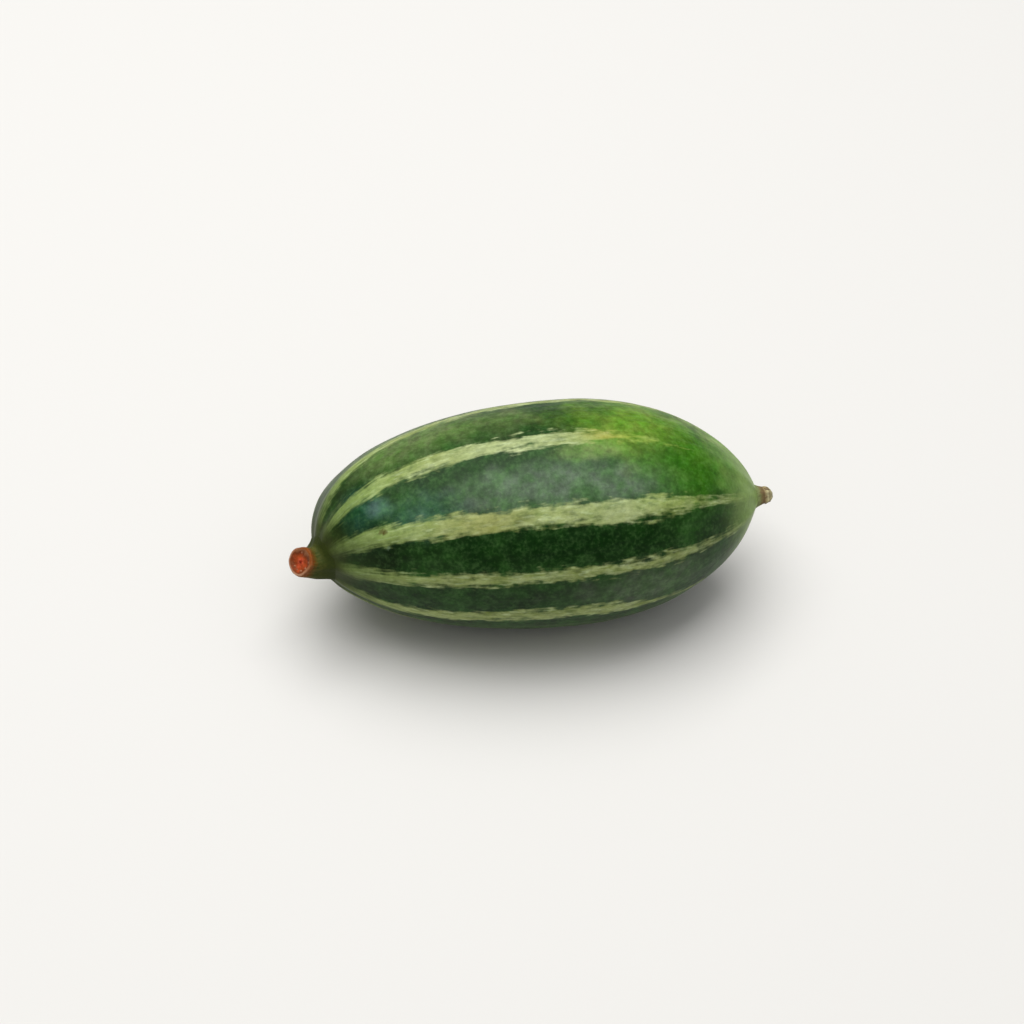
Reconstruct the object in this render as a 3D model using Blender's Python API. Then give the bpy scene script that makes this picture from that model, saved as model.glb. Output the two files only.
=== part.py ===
"""A pointed gourd lying on its side: the fruit, the stub of its cut stem and its dried flower tip.

Frame: X runs along the fruit, from the stem end at -X to the flower end at +X, and +Z is up. The origin is
the middle of the small flat spot that the fruit rests on, under its widest station. Lengths are in metres.
"""

from math import acos, atan2, cos, exp, pi, radians, sin, sqrt

import bmesh
import bpy
from mathutils import Matrix, Vector

# The fruit, pole to pole and at its widest
BODY_LENGTH = 0.0750
BODY_DIAMETER = 0.0380
STEM_SIDE_SHARE = 0.54
REST_CUT = 0.00035

# How full each end of its outline is: round at the stem, drawn out to a point at the flower
STEM_END_CURVE = (2.0, 0.45)
TIP_END_CURVE = (2.3, 0.637)

# The stem's pole, where the ribs meet, sits off the long axis, to the front and a little down
STEM_POLE_TURN = radians(12)
STEM_POLE_TOWARD = Vector((0, -0.985, -0.17))

# Ten low ribs, one under each pale stripe: angles from the top, over the front (-Y) side
RIB_ANGLES = [radians(degrees) for degrees in (-77, -39, -1, 40, 71, 104, 137, 173, 209, 246)]
RIB_HALF_WIDTH = radians(6)
RIB_HEIGHT = 0.00010
STEM_END_RIB_EXTRA = 0.00040
TIP_END_RIB_EXTRA = 0.00020
RIB_FADE = 0.25

# The low collar that the stem stands on, and the nose under the flower tip
COLLAR_HEIGHT = 0.0011
COLLAR_SPREAD = radians(14)
NOSE_HEIGHT = 0.0006
NOSE_SPREAD = radians(10)

# The short stem stub leaves the collar towards the front and bends up to its cut
STEM_LENGTH = 0.0041
STEM_ROOT_AIM = (radians(23), radians(10))
STEM_CUT_AIM = (radians(15), radians(44))
STEM_RIBS = 5
STEM_RIB_DEPTH = 0.00014
STEM_SOCKET_RADIUS = 0.0028
STEM_SOCKET_DEPTH = 0.0015

# The flower tip goes on from the nose
TIP_AIM = (radians(-3), radians(2))
TIP_LOBES = 5
TIP_LOBE_DEPTH = 0.00012
TIP_SOCKET_RADIUS = 0.0019
TIP_SOCKET_DEPTH = 0.0012

FIT_GAP = 0.0003
BODY_SEGMENTS = (72, 44)
SMALL_SEGMENTS = 30
SOCKET_SEGMENTS = 36

STEM_POLE = Vector((-1, 0, 0))
TIP_POLE = Vector((1, 0, 0))
BELLY = BODY_DIAMETER / 2
STEM_HALF = BODY_LENGTH * STEM_SIDE_SHARE
TIP_HALF = BODY_LENGTH - STEM_HALF
AXIS_HEIGHT = BELLY - REST_CUT


def clear_scene():
    for obj in list(bpy.data.objects):
        bpy.data.objects.remove(obj)


def new_collection(name):
    collection = bpy.data.collections.new(name)
    bpy.context.scene.collection.children.link(collection)
    return collection


def new_object(name, bm, collection, material=None):
    """An object from this mesh, shaded smooth except at its sharp edges."""
    mesh = bpy.data.meshes.new(name)
    bm.to_mesh(mesh)
    bm.free()
    mesh.shade_smooth()
    mesh.set_sharp_from_angle(angle=radians(40))
    if material:
        mesh.materials.append(material)
    obj = bpy.data.objects.new(name, mesh)
    collection.objects.link(obj)
    return obj


def plant_material(name, color, roughness):
    material = bpy.data.materials.new(name)
    material.use_nodes = True
    shader = material.node_tree.nodes["Principled BSDF"]
    shader.inputs["Base Color"].default_value = (*color, 1)
    shader.inputs["Roughness"].default_value = roughness
    shader.inputs["Metallic"].default_value = 0
    return material


def aimed(pole, around, up):
    """A direction that starts along a pole, swings to the front by one angle and rises by another."""
    return Vector((pole.x * cos(around) * cos(up), -sin(around) * cos(up), sin(up)))


def sphere_grid(around_count, along_count):
    """A unit sphere with its poles on X, and each vertex's place: along from -1 to 1, and angle round."""
    bm = bmesh.new()
    bmesh.ops.create_uvsphere(bm, u_segments=around_count, v_segments=along_count, radius=1)
    bmesh.ops.rotate(bm, verts=bm.verts, cent=(0, 0, 0), matrix=Matrix.Rotation(pi / 2, 3, "Y"))
    places = {vert: (vert.co.x, atan2(-vert.co.y, vert.co.z)) for vert in bm.verts}
    return bm, places


def turned_stem_end(point):
    """The point on the unit sphere, carried along as the stem's pole turns: less, the further from it."""
    turn = STEM_POLE_TURN * ((1 - point.x) / 2) ** 2
    return Matrix.Rotation(turn, 3, STEM_POLE.cross(STEM_POLE_TOWARD)) @ point


def bare_fruit(point):
    """The unit sphere's point carried onto the fruit's outline, before the ribs are raised."""
    half, (power, fullness) = (STEM_HALF, STEM_END_CURVE) if point.x < 0 else (TIP_HALF, TIP_END_CURVE)
    ring = BELLY * max(0, 1 - abs(point.x) ** power) ** fullness
    side = Vector((0, point.y, point.z))
    side.normalize()
    return Vector((half * point.x, 0, AXIS_HEIGHT)) + ring * side


def rib_height(along, around):
    """The ribs stand highest near the two ends, and widen in angle as they run together there."""
    level = sqrt(max(0, 1 - along**2))
    fade = 1 - exp(-((level / RIB_FADE) ** 2))
    half_width = RIB_HALF_WIDTH / sqrt(max(level, RIB_FADE))
    height = RIB_HEIGHT + STEM_END_RIB_EXTRA * max(0, -along) ** 4 + TIP_END_RIB_EXTRA * max(0, along) ** 4
    off_ribs = [(around - rib + pi) % (2 * pi) - pi for rib in RIB_ANGLES]
    return fade * height * sum(exp(-((off / half_width) ** 2)) for off in off_ribs)


def end_height(along):
    """The collar and the nose, which fall away with the angle from their own pole."""
    from_stem = sqrt(max(0, 2 + 2 * along))
    from_tip = sqrt(max(0, 2 - 2 * along))
    collar = COLLAR_HEIGHT * exp(-((from_stem / COLLAR_SPREAD) ** 2))
    return collar + NOSE_HEIGHT * exp(-((from_tip / NOSE_SPREAD) ** 2))


def fruit_mesh():
    """The fruit's whole skin, and the top of the collar and of the nose."""
    bm, places = sphere_grid(*BODY_SEGMENTS)
    for vert in bm.verts:
        vert.co = bare_fruit(turned_stem_end(vert.co))
    bm.normal_update()
    for vert, (along, around) in places.items():
        vert.co += vert.normal * (rib_height(along, around) + end_height(along))
    seat = min(bm.verts, key=lambda vert: places[vert][0]).co.copy()
    nose = max(bm.verts, key=lambda vert: places[vert][0]).co.copy()
    return bm, seat, nose


def cut(obj, cutter):
    cutter.hide_render = True
    cutter.display_type = "WIRE"
    modifier = obj.modifiers.new(cutter.name, "BOOLEAN")
    modifier.operation = "DIFFERENCE"
    modifier.solver = "EXACT"
    modifier.object = cutter


def socket_cutter(name, mouth, aim, radius, depth, collection):
    """A round cutter that reaches this deep below the mouth and stands well clear above it."""
    bm = bmesh.new()
    bmesh.ops.create_cone(
        bm, cap_ends=True, segments=SOCKET_SEGMENTS, radius1=radius, radius2=radius, depth=4 * depth
    )
    cutter = new_object(name, bm, collection)
    cutter.rotation_euler = aim.to_track_quat("Z", "Y").to_euler()
    cutter.location = mouth + aim * depth
    return cutter


def rest_cutter(collection):
    """A block whose top face, at z = 0, flattens the spot that the fruit lies on."""
    bm = bmesh.new()
    bmesh.ops.create_cube(bm, size=BODY_DIAMETER)
    cutter = new_object("rest_block", bm, collection)
    cutter.location = (0, 0, -BODY_DIAMETER / 2)
    return cutter


def turned_stub(name, outline, lobes, lobe_depth, centre_line, collection, material):
    """A closed round stub: its outline is (height, radius) from pole to pole, set along a centre line."""
    bm, places = sphere_grid(SMALL_SEGMENTS, len(outline) - 1)
    widest = max(radius for _, radius in outline)
    for vert, (along, around) in places.items():
        ring = round(acos(max(-1, min(1, -along))) / pi * (len(outline) - 1))
        height, radius = outline[ring]
        radius += lobe_depth * (radius / widest) ** 3 * cos(lobes * around)
        centre, aim = centre_line(height)
        across = aim.cross(Vector((0, 0, 1))).normalized()
        vert.co = centre + radius * (cos(around) * across + sin(around) * aim.cross(across))
    return new_object(name, bm, collection, material)


def stem_centre_line(seat):
    """The stem's centre and direction at a height above its seat: one even bend from root to cut."""
    root, end = aimed(STEM_POLE, *STEM_ROOT_AIM), aimed(STEM_POLE, *STEM_CUT_AIM)

    def at(height):
        share = height / STEM_LENGTH
        centre = seat + root * height + (end - root) * (height * max(0, share) / 2)
        return centre, root.lerp(end, max(0, share)).normalized()

    return at


def tip_centre_line(nose):
    aim = aimed(TIP_POLE, *TIP_AIM)
    return lambda height: (nose + aim * height, aim)


def stem_outline():
    """Root in its socket, a flare over the collar, the stub, and a cut face with a sunken core."""
    root = FIT_GAP - STEM_SOCKET_DEPTH
    neck = STEM_SOCKET_RADIUS - FIT_GAP
    return [
        (root, 0),
        (root, 0.6 * neck),
        (root + 0.0002, 0.94 * neck),
        (0.0001, neck),
        (0.0005, neck + 0.0005),
        (0.0010, neck + 0.0004),
        (0.0016, neck),
        (0.0023, neck - 0.0001),
        (STEM_LENGTH - 0.0009, neck - 0.0001),
        (STEM_LENGTH - 0.0002, neck),
        (STEM_LENGTH, neck - 0.0002),
        (STEM_LENGTH, neck - 0.0006),
        (STEM_LENGTH - 0.0004, neck - 0.0009),
        (STEM_LENGTH - 0.0005, neck - 0.0016),
        (STEM_LENGTH - 0.0005, 0),
    ]


def tip_outline():
    """Root in its socket, the scar's narrow ring, and the flower's dried base with a dimple in its end."""
    root = FIT_GAP - TIP_SOCKET_DEPTH
    neck = TIP_SOCKET_RADIUS - FIT_GAP
    return [
        (root, 0),
        (root, 0.6 * neck),
        (root + 0.0002, 0.94 * neck),
        (0.0001, neck),
        (0.0005, neck),
        (0.0008, neck - 0.0002),
        (0.0011, neck - 0.0001),
        (0.0016, neck - 0.0002),
        (0.0021, neck - 0.0005),
        (0.0025, neck - 0.0009),
        (0.0026, neck - 0.0012),
        (0.0024, neck - 0.0014),
        (0.0023, 0),
    ]


def build():
    clear_scene()
    gourd = new_collection("pointed_gourd")
    cutters = new_collection("cutters")
    skin = plant_material("green_gourd_skin", (0.07, 0.14, 0.035), 0.42)
    cut_stalk = plant_material("cut_stalk", (0.24, 0.11, 0.035), 0.7)
    dried_flower = plant_material("dried_flower", (0.21, 0.15, 0.075), 0.8)

    body, seat, nose = fruit_mesh()
    fruit = new_object("fruit", body, gourd, skin)
    stem_aim, tip_aim = aimed(STEM_POLE, *STEM_ROOT_AIM), aimed(TIP_POLE, *TIP_AIM)
    stem_socket = (seat, stem_aim, STEM_SOCKET_RADIUS, STEM_SOCKET_DEPTH)
    tip_socket = (nose, tip_aim, TIP_SOCKET_RADIUS, TIP_SOCKET_DEPTH)
    cut(fruit, rest_cutter(cutters))
    cut(fruit, socket_cutter("stem_socket", *stem_socket, cutters))
    cut(fruit, socket_cutter("tip_socket", *tip_socket, cutters))

    stem_line, tip_line = stem_centre_line(seat), tip_centre_line(nose)
    turned_stub("cut_stem", stem_outline(), STEM_RIBS, STEM_RIB_DEPTH, stem_line, gourd, cut_stalk)
    turned_stub("dried_flower_tip", tip_outline(), TIP_LOBES, TIP_LOBE_DEPTH, tip_line, gourd, dried_flower)


build()
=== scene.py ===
"""A pointed gourd lying on its side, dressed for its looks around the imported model."""

from math import atan2, cos, pi, radians, sin

import bmesh
import bpy
import numpy as np
from mathutils import Matrix, Vector
from mathutils.bvhtree import BVHTree


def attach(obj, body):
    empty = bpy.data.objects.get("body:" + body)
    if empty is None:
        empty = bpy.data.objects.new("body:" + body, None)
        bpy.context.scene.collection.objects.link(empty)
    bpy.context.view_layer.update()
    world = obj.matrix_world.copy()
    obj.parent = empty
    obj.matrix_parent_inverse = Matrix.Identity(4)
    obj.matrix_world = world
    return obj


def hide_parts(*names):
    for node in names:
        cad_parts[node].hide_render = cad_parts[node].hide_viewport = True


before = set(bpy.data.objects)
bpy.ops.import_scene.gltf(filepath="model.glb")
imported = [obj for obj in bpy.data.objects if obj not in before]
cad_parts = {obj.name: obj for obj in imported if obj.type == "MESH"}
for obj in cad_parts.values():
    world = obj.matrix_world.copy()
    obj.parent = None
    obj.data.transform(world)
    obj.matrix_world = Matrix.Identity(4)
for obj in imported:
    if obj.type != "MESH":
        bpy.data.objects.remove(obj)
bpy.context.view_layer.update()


# The fruit: a plump spindle of firm flesh under a thin waxy skin, grown from its stem's collar to a
# drawn-out nose. Ten low ribs run from end to end, each under a pale stripe that breaks into flecks
# towards the nose. It rests on a small flattened spot, with its stem's pole a little to the front.

MM = 0.001
FRUIT_LENGTH = 0.0750
FRUIT_DIAMETER = 0.0380
BELLY_MM = FRUIT_DIAMETER / 2 / MM
STEM_POLE_TOWARD = (0, -0.985, -0.17)

# A rib has this half width at the belly, widens up to twice that towards the ends and fades out at the
# very poles. A meridian's length in mm is close to a line plus an arc. The skin swells over about 11 mm.
RIB_HALF_ANGLE = radians(6)
RIB_WIDENS_UP_TO = 2
POLE_FADE = 16.0
MERIDIAN_LINE_MM, MERIDIAN_ARC_MM = 18.0, 19.5
SWELL_PER_MM = 0.09

# Each stripe: its angle from the top over the front, half its width in mm, how much it narrows towards
# the stem, how far it sways at the stem and at the nose in degrees, where on the unit sphere it starts
# to narrow towards the nose and stops, and the half width in mm that it narrows to there, gone below 0
STRIPES = (
    (-77, 1.5, 1.0, 4, -6, 0.20, 0.80, -1.0),
    (-41, 1.2, 0.4, 7, 14, 0.30, 1.10, -1.0),
    (-1.3, 1.55, 0.68, -4.2, 14, 0.05, 1.01, -2.0),
    (41, 1.85, 0.45, -10, -3, 0.40, 0.64, 0.7),
    (71, 1.08, 0.0, -1, -4, 0.45, 0.61, 0.6),
    (94.5, 1.55, 0.4, 22, 30, 0.10, 0.95, -1.0),
    (137, 1.6, 0.6, 5, 4, 0.10, 0.48, 0.2),
    (173, 1.9, 0.5, -4, 3, 0.30, 0.95, -1.0),
    (209, 1.4, 0.6, 3, -4, 0.00, 0.37, 0.3),
    (246, 1.9, 0.5, -5, 5, 0.25, 0.79, -0.5),
)


def feed(tree, node, inputs):
    """Gives inputs of a node, each by its name or its place, a value, a socket or another node."""
    for key, value in inputs.items():
        named = isinstance(key, str)
        socket = next(s for s in node.inputs if s.name == key and s.enabled) if named else node.inputs[key]
        if isinstance(value, bpy.types.Node):
            value = next(s for s in value.outputs if s.enabled)
        if isinstance(value, bpy.types.NodeSocket):
            tree.links.new(value, socket)
        else:
            socket.default_value = value


def add(tree, kind, inputs=None, **settings):
    """Adds one node, with its settings and with what feeds its inputs."""
    made = tree.nodes.new(kind)
    for name, value in settings.items():
        setattr(made, name, value)
    feed(tree, made, inputs or {})
    return made


def new_tree(name, kinds_in, kinds_out):
    """A Geometry Nodes tree with these inputs and outputs, each name with its kind of socket."""
    tree = bpy.data.node_groups.new(name, "GeometryNodeTree")
    for in_out, kinds in (("INPUT", kinds_in), ("OUTPUT", kinds_out)):
        for socket, kind in kinds.items():
            tree.interface.new_socket(socket, in_out=in_out, socket_type="NodeSocket" + kind)
    return tree, tree.nodes.new("NodeGroupInput").outputs


def kinds_of(sizes):
    """The kind of socket that each of these sizes needs."""
    return {name: "Int" if isinstance(size, int) else "Float" for name, size in sizes.items()}


def placed(name, data):
    """A new object with this data, in the scene."""
    made = bpy.data.objects.new(name, data)
    bpy.context.scene.collection.objects.link(made)
    return made


def grown(name, tree, values):
    """The plain mesh that a tree makes with these values, as an object at the origin."""
    made = placed(name, bpy.data.meshes.new(name + "_start"))
    modifier = made.modifiers.new(name, "NODES")
    modifier.node_group = tree
    for socket in tree.interface.items_tree:
        if socket.in_out == "INPUT" and socket.name in values:
            modifier[socket.identifier] = values[socket.name]
    made.data = bpy.data.meshes.new_from_object(made.evaluated_get(bpy.context.evaluated_depsgraph_get()))
    made.modifiers.clear()
    made.data.name = name
    return made


def linear(code):
    """An sRGB hex colour as the linear colour that a shader takes."""
    parts = [int(code[i : i + 2], 16) / 255 for i in (0, 2, 4)]
    return (*(c / 12.92 if c <= 0.04045 else ((c + 0.055) / 1.055) ** 2.4 for c in parts), 1)


def shade(ramp, colours):
    """Gives a colour ramp these colours, each at its place from 0 to 1."""
    stops = ramp.color_ramp.elements
    for place, colour in colours.items():
        stop = stops.new(place) if 0 < place < 1 else stops[-1 if place else 0]
        stop.color = linear(colour)


def new_material(name):
    """A new material and its tree of nodes."""
    made = bpy.data.materials.new(name)
    made.use_nodes = True
    return made, made.node_tree


# One stripe's share of the skin, as fields on a unit sphere: how far inside its edge a point lies,
# in mm, and how high its rib stands there
stripe_tree, given = new_tree(
    "one_pale_stripe",
    dict.fromkeys(("Along", "Around", "Pale", "Rib", "Angle", "Half Width", "Taper"), "Float")
    | dict.fromkeys(("Stem Sway", "Tip Sway", "Fade From", "Fade To", "Least"), "Float"),
    {"Pale": "Float", "Rib": "Float"},
)
near_tip = add(stripe_tree, "ShaderNodeMath", {0: given["Along"], 1: 0.5, 2: 0.5}, operation="MULTIPLY_ADD")
near_stem = add(stripe_tree, "ShaderNodeMath", {0: 1.0, 1: near_tip}, operation="SUBTRACT")
swung = given["Angle"]
for nearness, sway in ((near_stem, "Stem Sway"), (near_tip, "Tip Sway")):
    pull = add(stripe_tree, "ShaderNodeMath", {0: nearness, 1: 4.0}, operation="POWER")
    swung = add(stripe_tree, "ShaderNodeMath", {0: pull, 1: given[sway], 2: swung}, operation="MULTIPLY_ADD")
apart = add(stripe_tree, "ShaderNodeMath", {0: given["Around"], 1: swung}, operation="SUBTRACT")
apart = add(stripe_tree, "ShaderNodeMath", {0: apart, 1: pi, 2: -pi}, operation="WRAP")
apart = add(stripe_tree, "ShaderNodeMath", {0: apart}, operation="ABSOLUTE")
squared = add(stripe_tree, "ShaderNodeMath", {0: given["Along"], 1: given["Along"]}, operation="MULTIPLY")
level = add(stripe_tree, "ShaderNodeMath", {0: 1.0, 1: squared}, operation="SUBTRACT")
level = add(stripe_tree, "ShaderNodeMath", {0: level, 1: 0.0}, operation="MAXIMUM")
level = add(stripe_tree, "ShaderNodeMath", {0: level}, operation="SQRT")
ring_mm = add(stripe_tree, "ShaderNodeMath", {0: level, 1: BELLY_MM}, operation="MULTIPLY")
aside_mm = add(stripe_tree, "ShaderNodeMath", {0: apart, 1: ring_mm}, operation="MULTIPLY")
stem_side = add(stripe_tree, "ShaderNodeMath", {0: given["Along"], 1: 0.0}, operation="MINIMUM")
stem_side = add(stripe_tree, "ShaderNodeMath", {0: stem_side, 1: given["Along"]}, operation="MULTIPLY")
slim = add(stripe_tree, "ShaderNodeMath", {0: 1.0, 1: stem_side}, operation="SUBTRACT")
slim = add(stripe_tree, "ShaderNodeMath", {0: slim, 1: 0.0}, operation="MAXIMUM")
slim = add(stripe_tree, "ShaderNodeMath", {0: slim}, operation="SQRT")
slim = add(stripe_tree, "ShaderNodeMath", {0: slim, 1: given["Taper"]}, operation="POWER")
width = add(stripe_tree, "ShaderNodeMath", {0: slim, 1: given["Half Width"]}, operation="MULTIPLY")
fade = {"Value": given["Along"], "From Min": given["Fade From"], "From Max": given["Fade To"]}
fade = add(stripe_tree, "ShaderNodeMapRange", fade)
lost = add(stripe_tree, "ShaderNodeMath", {0: given["Half Width"], 1: given["Least"]}, operation="SUBTRACT")
lost = add(stripe_tree, "ShaderNodeMath", {0: lost, 1: fade}, operation="MULTIPLY")
width = add(stripe_tree, "ShaderNodeMath", {0: width, 1: lost}, operation="SUBTRACT")
inside = add(stripe_tree, "ShaderNodeMath", {0: width, 1: aside_mm}, operation="SUBTRACT")
widest = add(stripe_tree, "ShaderNodeMath", {0: given["Pale"], 1: inside}, operation="MAXIMUM")
rib_level = add(stripe_tree, "ShaderNodeMath", {0: level, 1: 1 / RIB_WIDENS_UP_TO**2}, operation="MAXIMUM")
rib_level = add(stripe_tree, "ShaderNodeMath", {0: rib_level}, operation="SQRT")
rib = add(stripe_tree, "ShaderNodeMath", {0: apart, 1: rib_level}, operation="MULTIPLY")
rib = add(stripe_tree, "ShaderNodeMath", {0: rib, 1: RIB_HALF_ANGLE}, operation="DIVIDE")
rib = add(stripe_tree, "ShaderNodeMath", {0: rib, 1: rib}, operation="MULTIPLY")
rib = add(stripe_tree, "ShaderNodeMath", {0: rib, 1: -1.0}, operation="MULTIPLY")
rib = add(stripe_tree, "ShaderNodeMath", {0: rib}, operation="EXPONENT")
rib = add(stripe_tree, "ShaderNodeMath", {0: rib, 1: given["Rib"]}, operation="ADD")
add(stripe_tree, "NodeGroupOutput", {"Pale": widest, "Rib": rib})

# The whole skin: a sphere with its poles on X, carried onto the fruit's outline, then raised at its
# ribs, its collar and its nose, and pressed flat where it rests
FRUIT_SIZES = {
    "Around": 320,
    "Rings": 210,
    "Length": FRUIT_LENGTH,
    "Diameter": FRUIT_DIAMETER,
    "Stem Share": 0.54,
    "Rest Cut": 0.00035,
    "Stem Power": 2.0,
    "Stem Fullness": 0.45,
    "Tip Power": 2.3,
    "Tip Fullness": 0.637,
    "Pole Turn": radians(12),
    "Rib Height": 0.00010,
    "Stem Rib Extra": 0.00040,
    "Tip Rib Extra": 0.00020,
    "Collar Height": 0.0011,
    "Collar Spread": radians(14),
    "Nose Height": 0.0006,
    "Nose Spread": radians(10),
    "Unevenness": 0.00012,
}
GEOMETRY = {"Geometry": "Geometry"}
tree, given = new_tree("gourd_skin_shape", {**kinds_of(FRUIT_SIZES), "Skin": "Material"}, GEOMETRY)
shell = {"Segments": given["Around"], "Rings": given["Rings"], "Radius": 1.0}
shell = add(tree, "GeometryNodeMeshUVSphere", shell).outputs["Mesh"]
shell = add(tree, "GeometryNodeTransform", {"Geometry": shell, "Rotation": (0, pi / 2, 0)})
place = add(tree, "GeometryNodeInputPosition")
parts = add(tree, "ShaderNodeSeparateXYZ", {0: place})
along = parts.outputs["X"]
front = add(tree, "ShaderNodeMath", {0: parts.outputs["Y"], 1: -1.0}, operation="MULTIPLY")
around = add(tree, "ShaderNodeMath", {0: front, 1: parts.outputs["Z"]}, operation="ARCTAN2")

# The skin's own coordinates in mm, along a meridian and round the fruit, for marks that follow it
safe = add(tree, "ShaderNodeClamp", {"Value": along, "Min": -1.0, "Max": 1.0})
bend = add(tree, "ShaderNodeMath", {0: safe}, operation="ARCSINE")
bend = add(tree, "ShaderNodeMath", {0: bend, 1: MERIDIAN_ARC_MM}, operation="MULTIPLY")
meridian = add(tree, "ShaderNodeMath", {0: along, 1: MERIDIAN_LINE_MM, 2: bend}, operation="MULTIPLY_ADD")
turn_y = add(tree, "ShaderNodeMath", {0: around}, operation="COSINE")
turn_z = add(tree, "ShaderNodeMath", {0: around}, operation="SINE")
wrapped = add(tree, "ShaderNodeCombineXYZ", {"X": 0.0, "Y": turn_y, "Z": turn_z})
wrapped = add(tree, "ShaderNodeVectorMath", {0: wrapped, "Scale": BELLY_MM}, operation="SCALE")
down_it = add(tree, "ShaderNodeCombineXYZ", {"X": meridian})
skin_place = add(tree, "ShaderNodeVectorMath", {0: wrapped, 1: down_it}, operation="ADD")

# The stripes add up one by one, from a start well outside of every stripe and with no rib
FAR_OUTSIDE_MM, NO_RIB = -10.0, 0.0
pale, ribs = FAR_OUTSIDE_MM, NO_RIB
for angle, half_width, taper, stem_sway, tip_sway, fade_from, fade_to, least in STRIPES:
    stripe = {
        "Along": along,
        "Around": around,
        "Pale": pale,
        "Rib": ribs,
        "Angle": radians(angle),
        "Half Width": half_width,
        "Taper": taper,
        "Stem Sway": radians(stem_sway),
        "Tip Sway": radians(tip_sway),
        "Fade From": fade_from,
        "Fade To": fade_to,
        "Least": least,
    }
    stripe = add(tree, "GeometryNodeGroup", stripe, node_tree=stripe_tree)
    pale, ribs = stripe.outputs["Pale"], stripe.outputs["Rib"]

# The relief: ribs that fade out at the very poles, the stem's collar, the nose and slow swells
to_tip = add(tree, "ShaderNodeMath", {0: along, 1: 0.0}, operation="MAXIMUM")
to_stem = add(tree, "ShaderNodeMath", {0: along, 1: 0.0}, operation="MINIMUM")
rib_height = given["Rib Height"]
for side, extra in ((to_tip, "Tip Rib Extra"), (to_stem, "Stem Rib Extra")):
    fourth = add(tree, "ShaderNodeMath", {0: side, 1: 4.0}, operation="POWER")
    rib_height = {0: fourth, 1: given[extra], 2: rib_height}
    rib_height = add(tree, "ShaderNodeMath", rib_height, operation="MULTIPLY_ADD")
squared = add(tree, "ShaderNodeMath", {0: along, 1: along}, operation="MULTIPLY")
fade = add(tree, "ShaderNodeMath", {0: squared, 1: -1.0}, operation="ADD")
fade = add(tree, "ShaderNodeMath", {0: fade, 1: POLE_FADE}, operation="MULTIPLY")
fade = add(tree, "ShaderNodeMath", {0: fade}, operation="EXPONENT")
fade = add(tree, "ShaderNodeMath", {0: 1.0, 1: fade}, operation="SUBTRACT")
relief = add(tree, "ShaderNodeMath", {0: rib_height, 1: ribs}, operation="MULTIPLY")
relief = add(tree, "ShaderNodeMath", {0: relief, 1: fade}, operation="MULTIPLY")
for sign, height, spread in ((2.0, "Collar Height", "Collar Spread"), (-2.0, "Nose Height", "Nose Spread")):
    chord = add(tree, "ShaderNodeMath", {0: along, 1: sign, 2: 2.0}, operation="MULTIPLY_ADD")
    share = add(tree, "ShaderNodeMath", {0: given[spread], 1: given[spread]}, operation="MULTIPLY")
    share = add(tree, "ShaderNodeMath", {0: chord, 1: share}, operation="DIVIDE")
    share = add(tree, "ShaderNodeMath", {0: share, 1: -1.0}, operation="MULTIPLY")
    share = add(tree, "ShaderNodeMath", {0: share}, operation="EXPONENT")
    relief = add(tree, "ShaderNodeMath", {0: share, 1: given[height], 2: relief}, operation="MULTIPLY_ADD")
swell = add(tree, "ShaderNodeTexNoise", {"Vector": skin_place, "Scale": SWELL_PER_MM, "Detail": 2.0})
swell = add(tree, "ShaderNodeMath", {0: swell, 1: -0.5}, operation="ADD")
swell = add(tree, "ShaderNodeMath", {0: swell, 1: 2.0}, operation="MULTIPLY")
relief = add(tree, "ShaderNodeMath", {0: swell, 1: given["Unevenness"], 2: relief}, operation="MULTIPLY_ADD")

girth = add(tree, "ShaderNodeMath", {0: 1.0, 1: squared}, operation="SUBTRACT")
girth = add(tree, "ShaderNodeMath", {0: girth, 1: 0.5}, operation="POWER")
for name, kind, value in (
    ("skin", "FLOAT_VECTOR", skin_place),
    ("pale", "FLOAT", pale),
    ("girth", "FLOAT", girth),
    ("relief", "FLOAT", relief),
):
    shell = {"Geometry": shell, "Name": name, "Value": value}
    shell = add(tree, "GeometryNodeStoreNamedAttribute", shell, data_type=kind)

# The outline: the stem's pole turned off the axis, then each ring's radius from its place along
off_middle = add(tree, "ShaderNodeMath", {0: along, 1: -0.5, 2: 0.5}, operation="MULTIPLY_ADD")
off_middle = add(tree, "ShaderNodeMath", {0: off_middle, 1: 2.0}, operation="POWER")
turn = add(tree, "ShaderNodeMath", {0: off_middle, 1: given["Pole Turn"]}, operation="MULTIPLY")
turn_axis = Vector((-1, 0, 0)).cross(Vector(STEM_POLE_TOWARD))
turned = add(tree, "ShaderNodeVectorRotate", {"Vector": place, "Axis": turn_axis, "Angle": turn})
parts = add(tree, "ShaderNodeSeparateXYZ", {0: turned})
on_stem_side = add(tree, "ShaderNodeMath", {0: parts.outputs["X"], 1: 0.0}, operation="LESS_THAN")
stem_half = add(tree, "ShaderNodeMath", {0: given["Length"], 1: given["Stem Share"]}, operation="MULTIPLY")
tip_half = add(tree, "ShaderNodeMath", {0: given["Length"], 1: stem_half}, operation="SUBTRACT")
half = add(tree, "ShaderNodeMix", {"Factor": on_stem_side, "A": tip_half, "B": stem_half})
power = {"Factor": on_stem_side, "A": given["Tip Power"], "B": given["Stem Power"]}
power = add(tree, "ShaderNodeMix", power)
fullness = {"Factor": on_stem_side, "A": given["Tip Fullness"], "B": given["Stem Fullness"]}
fullness = add(tree, "ShaderNodeMix", fullness)
ring = add(tree, "ShaderNodeMath", {0: parts.outputs["X"]}, operation="ABSOLUTE")
ring = add(tree, "ShaderNodeMath", {0: ring, 1: power}, operation="POWER")
ring = add(tree, "ShaderNodeMath", {0: 1.0, 1: ring}, operation="SUBTRACT")
ring = add(tree, "ShaderNodeMath", {0: ring, 1: 0.0}, operation="MAXIMUM")
ring = add(tree, "ShaderNodeMath", {0: ring, 1: fullness}, operation="POWER")
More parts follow.
